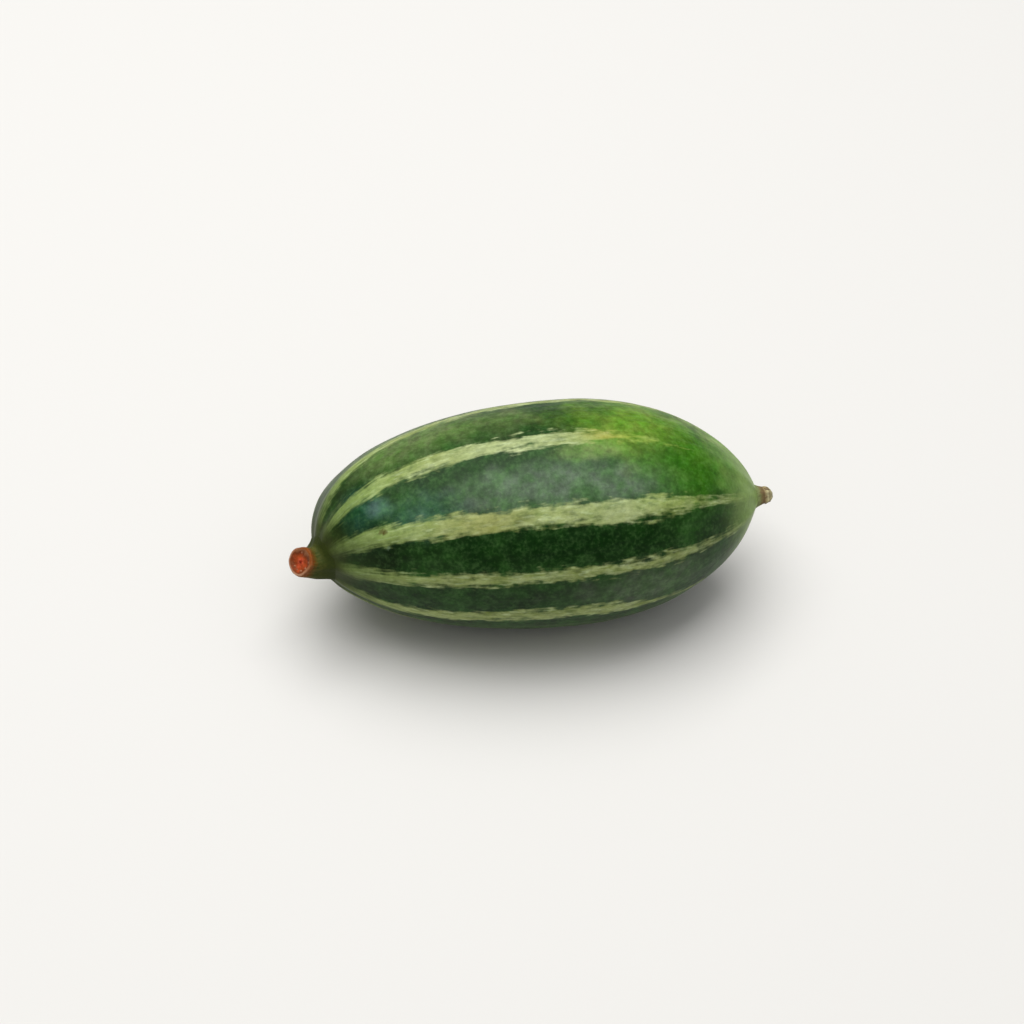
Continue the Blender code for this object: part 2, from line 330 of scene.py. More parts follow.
belly = add(tree, "ShaderNodeMath", {0: given["Diameter"], 1: 0.5}, operation="MULTIPLY")
ring = add(tree, "ShaderNodeMath", {0: ring, 1: belly}, operation="MULTIPLY")
side = add(tree, "ShaderNodeCombineXYZ", {"Y": parts.outputs["Y"], "Z": parts.outputs["Z"]})
side = add(tree, "ShaderNodeVectorMath", {0: side}, operation="NORMALIZE")
side = add(tree, "ShaderNodeVectorMath", {0: side, "Scale": ring}, operation="SCALE")
centre_x = add(tree, "ShaderNodeMath", {0: half, 1: parts.outputs["X"]}, operation="MULTIPLY")
axis_z = add(tree, "ShaderNodeMath", {0: belly, 1: given["Rest Cut"]}, operation="SUBTRACT")
centre = add(tree, "ShaderNodeCombineXYZ", {"X": centre_x, "Z": axis_z})
spot = add(tree, "ShaderNodeVectorMath", {0: centre, 1: side}, operation="ADD")
shell = add(tree, "GeometryNodeSetPosition", {"Geometry": shell, "Position": spot})
raised = add(tree, "GeometryNodeInputNamedAttribute", {"Name": "relief"}, data_type="FLOAT")
normal = add(tree, "GeometryNodeInputNormal")
offset = add(tree, "ShaderNodeVectorMath", {0: normal, "Scale": raised}, operation="SCALE")
shell = add(tree, "GeometryNodeSetPosition", {"Geometry": shell, "Offset": offset})
above_rest = add(tree, "ShaderNodeVectorMath", {0: place, 1: (-1.0, -1.0, 0.0)}, operation="MAXIMUM")
shell = add(tree, "GeometryNodeSetPosition", {"Geometry": shell, "Position": above_rest})
shell = add(tree, "GeometryNodeRemoveAttribute", {"Geometry": shell, "Name": "relief"})
shell = add(tree, "GeometryNodeSetShadeSmooth", {"Geometry": shell})
shell = add(tree, "GeometryNodeRealizeInstances", {"Geometry": shell})
shell = add(tree, "GeometryNodeSetMaterial", {"Geometry": shell, "Material": given["Skin"]})
add(tree, "NodeGroupOutput", {"Geometry": shell})

# Gourd skin, grown: a thin wax over dark green with pale stripes. The eye sees a soft broad sheen,
# stripes torn into lengthwise flecks at their edges, and a fine lighter mottle in the dark bands.
gourd_skin, paint = new_material("gourd_skin_grown_waxy")
on_skin = add(paint, "ShaderNodeAttribute", attribute_name="skin").outputs["Vector"]
inside_mm = add(paint, "ShaderNodeAttribute", attribute_name="pale").outputs["Fac"]
at_place = add(paint, "ShaderNodeTexCoord").outputs["Object"]
at_mm = add(paint, "ShaderNodeVectorMath", {0: at_place, "Scale": 1 / MM}, operation="SCALE")

# Torn edges: streaks of 7 mm by 1.1 mm, dashes of 2.4 mm by 0.6 mm and lumps of 1.5 mm each carry
# the edge of a stripe in or out, less so towards the ends
longways = add(paint, "ShaderNodeMapping", {"Vector": on_skin, "Scale": (1 / 7, 1 / 1.1, 1 / 1.1)})
streaks = add(paint, "ShaderNodeTexNoise", {"Vector": longways, "Scale": 1.0, "Detail": 2.0})
longways = add(paint, "ShaderNodeMapping", {"Vector": on_skin, "Scale": (1 / 2.4, 1 / 0.6, 1 / 0.6)})
dashes = add(paint, "ShaderNodeTexNoise", {"Vector": longways, "Scale": 1.0, "Detail": 2.0})
lumps = add(paint, "ShaderNodeTexNoise", {"Vector": at_mm, "Scale": 1 / 1.5, "Detail": 3.0})
TORN_BY_MM = (3.2, 2.0, 2.0)
torn = -sum(TORN_BY_MM) / 2
for noise, reach in zip((streaks, dashes, lumps), TORN_BY_MM):
    torn = add(paint, "ShaderNodeMath", {0: noise, 1: reach, 2: torn}, operation="MULTIPLY_ADD")
girth = add(paint, "ShaderNodeAttribute", attribute_name="girth").outputs["Fac"]
ragged = add(paint, "ShaderNodeMapRange", {"Value": girth, "To Min": 0.25, "To Max": 1.0})
edge = add(paint, "ShaderNodeMath", {0: torn, 1: ragged, 2: inside_mm}, operation="MULTIPLY_ADD")
edge = {"Value": edge, "From Min": -0.5, "From Max": 0.8}
is_pale = add(paint, "ShaderNodeMapRange", edge, interpolation_type="SMOOTHSTEP")

# Inside a stripe the green shows through in smears of 2.5 mm by 0.9 mm, fewer at the ends, and the
# whole stripe fades towards the nose
longways = add(paint, "ShaderNodeMapping", {"Vector": on_skin, "Scale": (1 / 2.5, 1 / 0.9, 1 / 0.9)})
smears = add(paint, "ShaderNodeTexNoise", {"Vector": longways, "Scale": 1.0, "Detail": 4.0, "Roughness": 0.6})
through = add(paint, "ShaderNodeMapRange", {"Value": girth, "To Min": 1.0, "To Max": 0.45})
worn = {"Value": smears, "From Min": 0.46, "From Max": 0.74, "To Min": 1.0, "To Max": through}
worn = add(paint, "ShaderNodeMapRange", worn)
is_pale = add(paint, "ShaderNodeMath", {0: is_pale, 1: worn}, operation="MULTIPLY")
down_skin = add(paint, "ShaderNodeSeparateXYZ", {0: on_skin}).outputs["X"]
to_nose = {"Value": down_skin, "From Min": 12.0, "From Max": 38.0, "To Min": 1.0, "To Max": 0.6}
to_nose = add(paint, "ShaderNodeMapRange", to_nose)
is_pale = add(paint, "ShaderNodeMath", {0: is_pale, 1: to_nose}, operation="MULTIPLY")

# The dark bands: two greens in patches of about 5 mm
patches = add(paint, "ShaderNodeTexNoise", {"Vector": at_mm, "Scale": 1 / 5, "Detail": 4.0})
patchy = add(paint, "ShaderNodeMapRange", {"Value": patches, "From Min": 0.35, "From Max": 0.65})
greens = {"Factor": patchy, "A": linear("16300F"), "B": linear("25471A")}
dark = add(paint, "ShaderNodeMix", greens, data_type="RGBA")

# Broad tints: the place of each in mm, its reach, its colour and its strength. To a distance in shares of
# the reach comes a ragged noise, and the tint is full up to one sum and gone at another.
TINT_RAGGED, TINT_FULL, TINT_GONE = 1.1, 0.75, 1.6
TINTS = (
    # Partly wax bloom, partly painted sheen: the next two grey-greens lighten the upper front band as the
    # light from above would
    ((0, -7.5, 34.5), (27, 5.5, 6), "5C7356", 0.85),
    ((-24.5, -8, 31), (9, 5, 6), "3A5E48", 0.75),
    # Partly painted shade, partly its own darker green: the next two darken the lower front band and its stem
    # end
    ((-2, -15.6, 29.5), (37, 5.5, 6), "0B2A07", 0.9),
    ((-31, -11.2, 25), (10, 5, 6), "071D04", 0.92),
    ((13, -17.5, 20), (19, 5, 6), "4C6042", 0.8),
    # Partly painted sheen, partly its own lighter green: a lighter green over the top band
    ((-26, 6.5, 33.5), (30, 8, 8.5), "647A44", 0.75),
    ((13, 4.4, 35.7), (17, 12, 8), "678C2A", 0.85),
    ((3, -2.6, 37.3), (8, 2.6, 3), "84A356", 0.4),
    ((21, -4, 33.0), (13, 10, 8), "35680C", 0.8),
    ((28, 1, 28.5), (8, 10, 7), "55802F", 0.85),
    ((28, 9.5, 27), (13, 9, 10), "84A052", 0.85),
    ((-35, -7.5, 26.5), (9, 6, 6), "04240E", 0.9),
    ((-34.2, -4, 28.8), (5, 5, 5), "1C5040", 0.6),
    ((-31.3, -5, 30.2), (4, 2.4, 2.4), "5F8472", 0.5),
)
for centre, reach, colour, strength in TINTS:
    shift, shrink = [-c / r for c, r in zip(centre, reach)], [1 / r for r in reach]
    from_centre = add(paint, "ShaderNodeMapping", {"Vector": at_mm, "Location": shift, "Scale": shrink})
    away = add(paint, "ShaderNodeVectorMath", {0: from_centre}, operation="LENGTH").outputs["Value"]
    away = add(paint, "ShaderNodeMath", {0: patches, 1: TINT_RAGGED, 2: away}, operation="MULTIPLY_ADD")
    tinted = {"Value": away, "From Min": TINT_FULL, "From Max": TINT_GONE, "To Min": strength, "To Max": 0.0}
    tinted = add(paint, "ShaderNodeMapRange", tinted, interpolation_type="SMOOTHSTEP")
    dark = add(paint, "ShaderNodeMix", {"Factor": tinted, "A": dark, "B": linear(colour)}, data_type="RGBA")

# Mottle in the dark: greyer and greener patches of 2.6 mm, then each green lighter or darker by up to
# 0.3 in clouds of 1.6 mm, with paler grey-green specks in them
drifts = {"Vector": at_mm, "Scale": 1 / 2.6, "Detail": 4.0, "Roughness": 0.6}
drifts = add(paint, "ShaderNodeTexNoise", drifts)
drifts = add(paint, "ShaderNodeMapRange", {"Value": drifts, "From Min": 0.35, "From Max": 0.65})
leaning_to = {"Factor": drifts, "A": (1.16, 1.0, 1.24), "B": (0.84, 1.03, 0.76)}
leaning_to = add(paint, "ShaderNodeMix", leaning_to, data_type="VECTOR")
dark = add(paint, "ShaderNodeVectorMath", {0: dark, 1: leaning_to}, operation="MULTIPLY")
clouds = {"Vector": at_mm, "Scale": 1 / 1.6, "Detail": 4.0, "Roughness": 0.65}
clouds = add(paint, "ShaderNodeTexNoise", clouds)
mottle = {"Value": clouds, "From Min": 0.3, "From Max": 0.7, "To Min": 0.72, "To Max": 1.3}
mottle = add(paint, "ShaderNodeMapRange", mottle)
dark = add(paint, "ShaderNodeVectorMath", {0: dark, "Scale": mottle}, operation="SCALE")
specks = add(paint, "ShaderNodeTexNoise", {"Vector": at_mm, "Scale": 1 / 0.55, "Detail": 2.0})
specks = add(paint, "ShaderNodeMath", {0: specks, 1: clouds}, operation="ADD")
speckled = {"Value": specks, "From Min": 0.95, "From Max": 1.35, "To Max": 0.2}
speckled = {"Factor": add(paint, "ShaderNodeMapRange", speckled), "A": dark, "B": linear("5C7A4A")}
dark = add(paint, "ShaderNodeMix", speckled, data_type="RGBA")

# The pale stripes: green khaki to cream in blotches of 3.4 mm by 1.3 mm, with brighter dashes
longways = add(paint, "ShaderNodeMapping", {"Vector": on_skin, "Scale": (1 / 3.4, 1 / 1.3, 1 / 1.3)})
cream = add(paint, "ShaderNodeTexNoise", {"Vector": longways, "Scale": 1.0, "Detail": 5.0, "Roughness": 0.6})
creamy = add(paint, "ShaderNodeMath", {0: cream, 1: -0.5}, operation="ADD")
creamy = add(paint, "ShaderNodeMath", {0: creamy, 1: girth, 2: 0.5}, operation="MULTIPLY_ADD")
creamy = add(paint, "ShaderNodeMapRange", {"Value": creamy, "From Min": 0.28, "From Max": 0.74})
light = add(paint, "ShaderNodeValToRGB", {"Fac": creamy})
shade(light, {0: "6F7F38", 0.35: "8D9A5A", 0.65: "A2AE72", 1: "BEC998"})
greener = add(paint, "ShaderNodeMath", {0: drifts, 1: 0.35}, operation="MULTIPLY")
light = add(paint, "ShaderNodeMix", {"Factor": greener, "A": light, "B": linear("8FA05F")}, data_type="RGBA")
bright = {"Value": dashes, "From Min": 0.56, "From Max": 0.68, "To Max": 0.45}
bright = add(paint, "ShaderNodeMapRange", bright)
light = add(paint, "ShaderNodeMix", {"Factor": bright, "A": light, "B": linear("BCCD99")}, data_type="RGBA")


def tinged(base, tints, noise, swing, fall):
    """A colour under round tints, with rims that a noise carries in and out within this swing in mm."""
    for centre, inner, outer, colour, strength in tints:
        away = add(paint, "ShaderNodeVectorMath", {0: at_mm, 1: centre}, operation="DISTANCE")
        away = {0: noise, 1: swing, 2: away.outputs["Value"]}
        away = add(paint, "ShaderNodeMath", away, operation="MULTIPLY_ADD")
        tinge = {"From Min": inner + swing / 2, "From Max": outer + swing / 2, "To Max": 0.0}
        tinge = {"Value": away, "To Min": strength, **tinge}
        tinge = add(paint, "ShaderNodeMapRange", tinge, interpolation_type=fall)
        base = {"Factor": tinge, "A": base, "B": linear(colour)}
        base = add(paint, "ShaderNodeMix", base, data_type="RGBA")
    return base


# The stripes' own tints, each with its place, its inner and outer reach in mm, its colour and strength:
# yellow-green and a tinge of orange where the top stripe breaks up, greener at the stem, creamier and
# browner in the middle
STRIPE_TINTS = (
    ((14.0, 0.0, 36.3), 6.0, 14.0, "8CA63A", 0.75),
    ((6.5, 0.5, 37.3), 0.2, 5.0, "A8903A", 0.45),
    ((-36.0, -3.0, 24.0), 5.0, 18.0, "7C9C4C", 0.55),
    ((-9.0, 0.0, 37.4), 3.0, 15.0, "C9D3A4", 0.35),
    ((7.0, -10.6, 34.0), 1.0, 9.0, "BFCB9C", 0.3),
    ((-15.0, -12.2, 32.5), 1.0, 9.0, "9C9A58", 0.5),
)
light = tinged(light, STRIPE_TINTS, lumps, 8.0, "LINEAR")
coat = add(paint, "ShaderNodeMix", {"Factor": is_pale, "A": dark, "B": light}, data_type="RGBA")

# The ends are plainer: painted shade towards the stem and on the rim above it, olive where the collar runs
# into it, and pale green round the nose
ENDS = (
    ((-39.6, -4.6, 17.9), 4.0, 18.0, "25330F", 0.6),
    ((-38.5, 5.5, 21.5), 0.0, 9.0, "34432A", 0.5),
    ((-39.6, -4.6, 17.9), 4.2, 8.0, "333C14", 0.95),
    ((34.0, -1.0, 22.0), 2.5, 14.5, "7F9C50", 0.92),
)
coat = tinged(coat, ENDS, patches, 6.0, "SMOOTHSTEP")

# Grain over all of it: each tone lighter or darker by up to a seventh, in the same clouds and specks
grain = {"Value": specks, "From Min": 0.7, "From Max": 1.3, "To Min": 0.86, "To Max": 1.14}
grain = add(paint, "ShaderNodeMapRange", grain)
coat = add(paint, "ShaderNodeVectorMath", {0: coat, "Scale": grain}, operation="SCALE")

# A small brown scar near the stem, at the edge of the upper front stripe, and a stray pale fleck under
# it. Both are longer than wide, with a narrow rim.
MARKS = (((-30.6, -8.7, 28.3), 1.75, "4A3C12", 0.95), ((-30.3, -10.5, 26.5), 1.4, "86A47E", 0.7))
MARK_SHRINK, MARK_RIM = (0.5, 1.2, 1.2), 0.8
for centre, reach, colour, strength in MARKS:
    away = add(paint, "ShaderNodeVectorMath", {0: at_mm, 1: centre}, operation="SUBTRACT")
    away = add(paint, "ShaderNodeVectorMath", {0: away, 1: MARK_SHRINK}, operation="MULTIPLY")
    away = add(paint, "ShaderNodeVectorMath", {0: away}, operation="LENGTH").outputs["Value"]
    away = add(paint, "ShaderNodeMath", {0: specks, 1: 1.0, 2: away}, operation="MULTIPLY_ADD")
    marked = {"From Min": reach - MARK_RIM, "From Max": reach, "To Min": strength, "To Max": 0.0}
    marked = add(paint, "ShaderNodeMapRange", {"Value": away, **marked})
    coat = add(paint, "ShaderNodeMix", {"Factor": marked, "A": coat, "B": linear(colour)}, data_type="RGBA")

# Wax: satin, a little duller on the stripes, over pores of 0.9 mm and faint lengthwise grooves
gloss = {"Value": is_pale, "To Min": 0.40, "To Max": 0.50}
gloss = add(paint, "ShaderNodeMapRange", gloss)
longways = add(paint, "ShaderNodeMapping", {"Vector": on_skin, "Scale": (1 / 14, 1 / 2.2, 1 / 2.2)})
grooves = add(paint, "ShaderNodeTexNoise", {"Vector": longways, "Scale": 1.0, "Detail": 2.0})
grooves = add(paint, "ShaderNodeMath", {0: grooves, 1: girth}, operation="MULTIPLY")
grooves = add(paint, "ShaderNodeMath", {0: grooves, 1: girth}, operation="MULTIPLY")
grooved = add(paint, "ShaderNodeBump", {"Strength": 0.5, "Distance": 0.0004, "Height": grooves})
pores = add(paint, "ShaderNodeTexNoise", {"Vector": at_mm, "Scale": 1 / 0.9, "Detail": 3.0})
pored = {"Strength": 0.25, "Distance": 0.0002, "Height": pores, "Normal": grooved}
pored = add(paint, "ShaderNodeBump", pored)
finish = {
    "Base Color": coat,
    "Roughness": gloss,
    "Normal": pored,
    "IOR": 1.45,
    "Specular IOR Level": 0.12,
    "Sheen Weight": 0.2,
    "Sheen Roughness": 0.22,
    "Sheen Tint": linear("C4D49A"),
}
feed(paint, paint.nodes["Principled BSDF"], finish)

fruit = grown("gourd_fruit", tree, {**FRUIT_SIZES, "Skin": gourd_skin})
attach(fruit, "root")
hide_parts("fruit")


# The stem: the stub of a ribbed woody stalk, cut by a knife a few days ago. It grows out of the
# collar and bends up to its cut, where a tan rind stands round a sunken, wet, orange-red core.

# Heights in mm above its seat, and the swing and rise in degrees of its root and its end
STEM_LENGTH = 4.1
CUT_FACE = 3.6
STEM_SIDES = 60
STEM_RIB_DEPTH = 0.045
STEM_ROOT_AIM, STEM_END_AIM = (23, 10), (15, 44)

# Its outline from the root to the middle of the cut: heights above its seat and radii, in mm
STEM_OUTLINE = (
    (-1.6, 0.0),
    (-1.6, 2.4),
    (-1.0, 4.4),
    (-0.3, 4.7),
    (0.0, 4.1),
    (0.35, 3.45),
    (0.75, 3.0),
    (1.2, 2.7),
    (1.8, 2.5),
    (2.5, 2.4),
    (3.1, 2.42),
    (3.6, 2.5),
    (3.95, 2.48),
    (4.1, 2.3),
    (4.05, 2.05),
    (3.85, 1.8),
    (3.62, 1.5),
    (3.5, 1.1),
    (3.55, 0.6),
    (3.5, 0.0),
)


def leaning(pole_x, swing, rise):
    """A direction that starts along a pole, swings to the front and rises, by these degrees."""
    swing, rise = radians(swing), radians(rise)
    return Vector((pole_x * cos(swing) * cos(rise), -sin(swing) * cos(rise), sin(rise)))


def stub(name, outline, around_count, centre_line, lobe):
    """A closed round stub on a bent centre line, whose own coordinates in mm are kept as an attribute."""
    grid, places, rings = bmesh.new(), [], []
    for height, radius in outline:
        centre, aim = centre_line(height)
        across = aim.cross(Vector((0, 0, 1))).normalized()
        up = aim.cross(across)
        count = around_count if radius else 1
        ring = []
        for step in range(count):
            turn = 2 * pi * step / count
            wide = radius * lobe(height, radius, turn)
            ring.append(grid.verts.new(centre + MM * wide * (cos(turn) * across + sin(turn) * up)))
            places.append((height, radius * cos(turn), radius * sin(turn)))
        rings.append(ring)
    for lower, upper in zip(rings, rings[1:]):
        for step in range(around_count):
            a, b = lower[step % len(lower)], lower[(step + 1) % len(lower)]
            c, d = upper[(step + 1) % len(upper)], upper[step % len(upper)]
            grid.faces.new(dict.fromkeys((a, b, c, d)))
    bmesh.ops.recalc_face_normals(grid, faces=grid.faces)
    mesh = bpy.data.meshes.new(name)
    grid.to_mesh(mesh)
    grid.free()
    mesh.shade_smooth()
    kept = mesh.attributes.new("own_mm", "FLOAT_VECTOR", "POINT")
    kept.data.foreach_set("vector", np.array(places, np.float32).ravel())
    made = placed(name, mesh)
    smooth = made.modifiers.new("rounded", "SUBSURF")
    smooth.levels = smooth.render_levels = 2
    return made


# The stem and the tip each sit on a pole of the fruit's skin
fruit_places = np.array([v.vector for v in fruit.data.attributes["skin"].data])
fruit_points = fruit.data.vertices
stem_seat = fruit_points[int(fruit_places[:, 0].argmin())].co.copy()
tip_seat = fruit_points[int(fruit_places[:, 0].argmax())].co.copy()


def stem_line(height):
    """The stem's centre and direction at a height in mm above its seat: one even bend."""
    root, end = leaning(-1, *STEM_ROOT_AIM), leaning(-1, *STEM_END_AIM)
    share = max(0, height / STEM_LENGTH)
    return stem_seat + MM * height * (root + (end - root) * share / 2), root.lerp(end, share).normalized()


def stem_ribs(height, radius, turn):
    """Five ribs on the stalk that fade towards its cut, with fine uneven ones between."""
    depth = STEM_RIB_DEPTH * min(1, max(0, STEM_LENGTH + 0.5 - height) / 2)
    uneven = 0.02 * sin(2 * turn + 1) + 0.02 * sin(3 * turn + 0.5) + 0.012 * sin(7 * turn + 2)
    return 1 + depth * cos(5 * turn) + 0.3 * depth * sin(13 * turn + height) + uneven


fruit_surface = BVHTree.FromObject(fruit, bpy.context.evaluated_depsgraph_get())

# A root's rings stay sunk below this height in mm, and the others stand off the skin by a lift in mm and
# by a share of their height
SUNK_BELOW = -1.1
ROOT_LIFT, ROOT_SLOPE = 0.04, 0.5


def lay_root(vertex, height, clear_at, span):
    """Lays a stub's root onto the fruit, less and less over this span in mm up to where it is clear."""
    if SUNK_BELOW < height < clear_at:
        near, outward, _, _ = fruit_surface.find_nearest(vertex.co)
        hold = min(1, max(0, (clear_at - height) / span)) ** 1.5
        vertex.co = vertex.co.lerp(near + outward * MM * (ROOT_LIFT + ROOT_SLOPE * height), hold)


# Its root spreads over the collar as one skin with it, so those rings are laid onto the fruit, and the
# knife left the rim of the cut not quite level
stem = stub("cut_stem_stub", STEM_OUTLINE, STEM_SIDES, stem_line, stem_ribs)
for vertex, own in zip(stem.data.vertices, stem.data.attributes["own_mm"].data):
    height = own.vector.x
    if height > 3:
        turn = atan2(own.vector.z, own.vector.y)
        vertex.co += MM * (0.14 * sin(turn + 2) + 0.08 * sin(3 * turn)) * stem_line(height)[1]
    lay_root(vertex, height, clear_at=1.25, span=1.3)

# Cut stalk: woody rind round wet pith. The eye sees a pale pinkish rim, an orange core that darkens to
# red in its middle, and a side that runs from brown through orange-brown to olive at the collar.
stalk, paint = new_material("gourd_stalk_cut_wet")
own = add(paint, "ShaderNodeAttribute", attribute_name="own_mm").outputs["Vector"]
own_parts = add(paint, "ShaderNodeSeparateXYZ", {0: own})
own_height, own_up = own_parts.outputs["X"], own_parts.outputs["Z"]
flat = add(paint, "ShaderNodeVectorMath", {0: own, 1: (0.0, 1.0, 1.0)}, operation="MULTIPLY")
out_mm = add(paint, "ShaderNodeVectorMath", {0: flat}, operation="LENGTH").outputs["Value"]
fibres = add(paint, "ShaderNodeMapping", {"Vector": own, "Scale": (1 / 3, 1 / 0.35, 1 / 0.35)})
fibres = add(paint, "ShaderNodeTexNoise", {"Vector": fibres, "Scale": 1.0, "Detail": 3.0})
blots = add(paint, "ShaderNodeTexNoise", {"Vector": own, "Scale": 1 / 1.1, "Detail": 2.0})
up_side = add(paint, "ShaderNodeMath", {0: blots, 1: 1.6, 2: own_height}, operation="MULTIPLY_ADD")
up_side = add(paint, "ShaderNodeMapRange", {"Value": up_side, "From Min": 0.8, "From Max": 5.2})
side_tone = add(paint, "ShaderNodeValToRGB", {"Fac": up_side})
shade(side_tone, {0: "303A10", 0.45: "3A4214", 0.62: "5A4414", 0.8: "7E4316", 1: "8A5434"})
stripiness = {"Value": own_height, "From Min": 0.3, "From Max": 1.8, "To Max": 0.4}
stripiness = add(paint, "ShaderNodeMapRange", stripiness)
stripy = {"Value": fibres, "From Min": 0.4, "From Max": 0.7, "To Max": stripiness}
stripy = add(paint, "ShaderNodeMapRange", stripy)
rind = {"Factor": stripy, "A": side_tone, "B": linear("6A6230")}
rind = add(paint, "ShaderNodeMix", rind, data_type="RGBA")
core_mm = add(paint, "ShaderNodeVectorMath", {0: flat, 1: (0.0, 0.1, 0.35)}, operation="DISTANCE")
core_mm = core_mm.outputs["Value"]
core_at = add(paint, "ShaderNodeMath", {0: blots, 1: 2.2, 2: core_mm}, operation="MULTIPLY_ADD")
core_at = add(paint, "ShaderNodeMapRange", {"Value": core_at, "From Min": 0.9, "From Max": 3.6})
core = add(paint, "ShaderNodeValToRGB", {"Fac": core_at})
shade(core, {0: "7E1E08", 0.16: "8E2A0C", 0.32: "C0502E", 0.5: "98401A", 0.72: "6C3212", 1: "94603E"})
lower_side = {"Value": own_up, "From Min": -1.6, "From Max": 1.2}
lower_side = add(paint, "ShaderNodeMapRange", lower_side)
rim_tone = {"Factor": lower_side, "A": linear("824416"), "B": linear("AC8266")}
rim_tone = add(paint, "ShaderNodeMix", rim_tone, data_type="RGBA")
at_rim = add(paint, "ShaderNodeMapRange", {"Value": out_mm, "From Min": 2.0, "From Max": 2.25})
core = add(paint, "ShaderNodeMix", {"Factor": at_rim, "A": core, "B": rim_tone}, data_type="RGBA")
on_cut = {"Value": own_height, "From Min": 3.3, "From Max": 3.5}
on_cut = add(paint, "ShaderNodeMapRange", on_cut)
within = add(paint, "ShaderNodeMapRange", {"Value": out_mm, "From Min": 2.5, "From Max": 2.4})
on_cut = add(paint, "ShaderNodeMath", {0: on_cut, 1: within}, operation="MULTIPLY")
stalk_tone = add(paint, "ShaderNodeMix", {"Factor": on_cut, "A": rind, "B": core}, data_type="RGBA")
wet = {"Value": out_mm, "From Min": 1.2, "From Max": 2.0, "To Min": 0.36, "To Max": 0.65}
wet = add(paint, "ShaderNodeMapRange", wet)
stalk_bump = add(paint, "ShaderNodeBump", {"Strength": 0.6, "Distance": 0.0002, "Height": fibres})
finish = {"Base Color": stalk_tone, "Roughness": wet, "Normal": stalk_bump, "Specular IOR Level": 0.12}
feed(paint, paint.nodes["Principled BSDF"], finish)
stem.data.materials.append(stalk)
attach(stem, "root")
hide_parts("cut_stem")

# The cut ends of the stalk's strings of fibre: a ring of ten small beads just inside the rind
FIBRE_SIZES = {"Strings": 10, "Ring": 1.62 * MM, "Bead": 0.19 * MM, "Unlike": 0.35, "Seed": 7}
WHERE = {"Place": "Vector", "Turn": "Rotation"}
fibre_kinds = {**kinds_of(FIBRE_SIZES), **WHERE, "Stalk": "Material"}
tree, given = new_tree("ring_of_fibre_ends", fibre_kinds, GEOMETRY)
spots = add(tree, "GeometryNodeMeshCircle", {"Vertices": given["Strings"], "Radius": given["Ring"]})
jitter = add(tree, "ShaderNodeMath", {0: given["Bead"], 1: 0.8}, operation="MULTIPLY")
back_jitter = add(tree, "ShaderNodeMath", {0: jitter, 1: -1.0}, operation="MULTIPLY")
jitters = {"Seed": given["Seed"]}
jitters["Min"] = add(tree, "ShaderNodeCombineXYZ", {"X": back_jitter, "Y": back_jitter})
jitters["Max"] = add(tree, "ShaderNodeCombineXYZ", {"X": jitter, "Y": jitter})
jitters = add(tree, "FunctionNodeRandomValue", jitters, data_type="FLOAT_VECTOR")
spots = add(tree, "GeometryNodeSetPosition", {"Geometry": spots, "Offset": jitters})
bead = add(tree, "GeometryNodeMeshIcoSphere", {"Radius": given["Bead"], "Subdivisions": 2})
least = add(tree, "ShaderNodeMath", {0: 1.0, 1: given["Unlike"]}, operation="SUBTRACT")
most = add(tree, "ShaderNodeMath", {0: 1.0, 1: given["Unlike"]}, operation="ADD")
sizes = add(tree, "FunctionNodeRandomValue", {"Min": least, "Max": most, "Seed": given["Seed"]})
beads = {"Points": spots, "Instance": bead.outputs["Mesh"], "Scale": sizes}
beads = add(tree, "GeometryNodeInstanceOnPoints", beads)
beads = add(tree, "GeometryNodeRealizeInstances", {"Geometry": beads})
beads = {"Geometry": beads, "Translation": given["Place"], "Rotation": given["Turn"]}
beads = add(tree, "GeometryNodeTransform", beads)
beads = add(tree, "GeometryNodeSetShadeSmooth", {"Geometry": beads})
beads = add(tree, "GeometryNodeSetMaterial", {"Geometry": beads, "Material": given["Stalk"]})
add(tree, "NodeGroupOutput", {"Geometry": beads})

# Cut fibre: drier than the core round it. The eye sees small tan dots in the orange.
fibre_end, paint = new_material("gourd_fibre_cut_dry")
at_place = add(paint, "ShaderNodeTexCoord").outputs["Object"]
spotty = add(paint, "ShaderNodeTexNoise", {"Vector": at_place, "Scale": 1 / (0.2 * MM), "Detail": 2.0})
fibre_tone = {"Factor": spotty, "A": linear("7E4020"), "B": linear("A8704A")}
fibre_tone = add(paint, "ShaderNodeMix", fibre_tone, data_type="RGBA")
feed(paint, paint.nodes["Principled BSDF"], {"Base Color": fibre_tone, "Roughness": 0.6})
cut_at, cut_aim = stem_line(CUT_FACE)
cut_turn = cut_aim.to_track_quat("Z", "Y").to_euler()
fibre_values = {**FIBRE_SIZES, "Place": cut_at, "Turn": cut_turn, "Stalk": fibre_end}
fibre_ends = grown("stem_fibre_ends", tree, fibre_values)
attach(fibre_ends, "root")


# The flower tip: what is left of the flower, dried to a small tan knob with five blunt folds, above
# the brown ring of the scar where it is still joined to the nose.

TIP_LENGTH = 2.5
SHRED_HEIGHT = 1.05
TIP_SIDES = 50
TIP_FOLD_DEPTH, TIP_FOLD_GAIN = 0.05, 0.07
TIP_AIM = (-3, 2)

# Its outline from the root to the middle of its end: heights above its seat and radii, in mm
TIP_OUTLINE = (
    (-1.4, 0.0),
    (-1.4, 1.6),
    (-0.9, 2.7),
    (-0.3, 2.7),
    (0.0, 2.2),
    (0.3, 1.8),
    (0.6, 1.55),
    (0.9, 1.42),
    (1.15, 1.46),
    (1.5, 1.4),
    (1.95, 1.15),
    (2.3, 0.8),
    (2.5, 0.45),
    (2.4, 0.25),
    (2.3, 0.0),
)


def tip_line(height):
    """The knob's centre and direction at a height in mm above its seat: a straight line."""
    aim = leaning(1, *TIP_AIM)
    return tip_seat + MM * height * aim, aim


def tip_folds(height, radius, turn):
    """Five blunt folds that deepen towards the end."""
    depth = TIP_FOLD_DEPTH + TIP_FOLD_GAIN * max(0, height) / TIP_LENGTH
    return 1 + depth * cos(5 * turn) + 0.35 * depth * sin(11 * turn + 2 * height)


